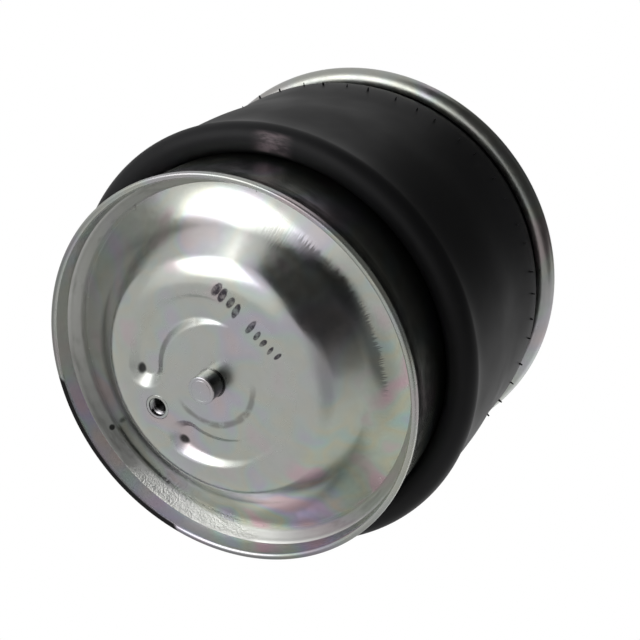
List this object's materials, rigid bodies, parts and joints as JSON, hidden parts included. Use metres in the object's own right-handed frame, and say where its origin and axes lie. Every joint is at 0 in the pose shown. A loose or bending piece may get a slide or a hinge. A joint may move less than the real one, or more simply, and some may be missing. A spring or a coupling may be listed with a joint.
{
  "type": "rolling-lobe air spring",
  "caption": "Rolling-lobe air spring: steel piston with locating pin and tapped seat, rubber sleeve, crimped top plate with studs and air inlet.",
  "frame": {"origin": "centre of the piston's seating face, where the locating pin leaves it", "axes": "+Z along the spring's axis from the piston to the top plate, +X from the locating pin towards the tapped bush"},
  "size_m": [0.2912, 0.2912, 0.2775],
  "materials": {
    "zinc_steel": "satin",
    "weld_steel": "matte",
    "wire_steel": "satin",
    "sleeve_rubber": "matte",
    "buffer_rubber": "matte"
  },
  "bodies": {
    "piston": {"piston_shell": "zinc_steel", "base_plate": "zinc_steel", "base_weld_bead": "weld_steel", "locating_pin": "zinc_steel", "pin_weld_ring": "weld_steel", "tapped_bush": "zinc_steel", "bush_weld_ring": "weld_steel", "head_stud": "zinc_steel", "head_stud_weld": "weld_steel", "clamp_plate": "zinc_steel", "bump_stop_disc": "zinc_steel", "bump_stop": "buffer_rubber", "lock_washer": "zinc_steel", "lock_nut": "zinc_steel", "lower_bead_wire": "wire_steel"},
    "sleeve": {"rubber_sleeve": "sleeve_rubber"},
    "top": {"top_plate": "zinc_steel", "upper_bead_wire": "wire_steel", "mounting_studs": "zinc_steel", "stud_weld_rings": "weld_steel", "air_inlet_bush": "zinc_steel", "inlet_weld_ring": "weld_steel"}
  },
  "joints": [
    {"name": "ride_travel", "type": "slide", "parent": "sleeve", "child": "top", "axis": [0, 0, 1], "range_m": [-0.035, 0.038], "stiffness_N_per_m": 30000, "springref_m": 0.0007, "deforming": ["rubber_sleeve"]},
    {"name": "lobe_roll", "type": "slide", "parent": "piston", "child": "sleeve", "axis": [0, 0, 1], "range_m": [-0.035, 0.038], "stiffness_N_per_m": 30000, "springref_m": 0.00121, "deforming": ["rubber_sleeve"]}
  ],
  "couplings": [
    {"joint": "lobe_roll", "follows": "ride_travel", "ratio": 1}
  ]
}
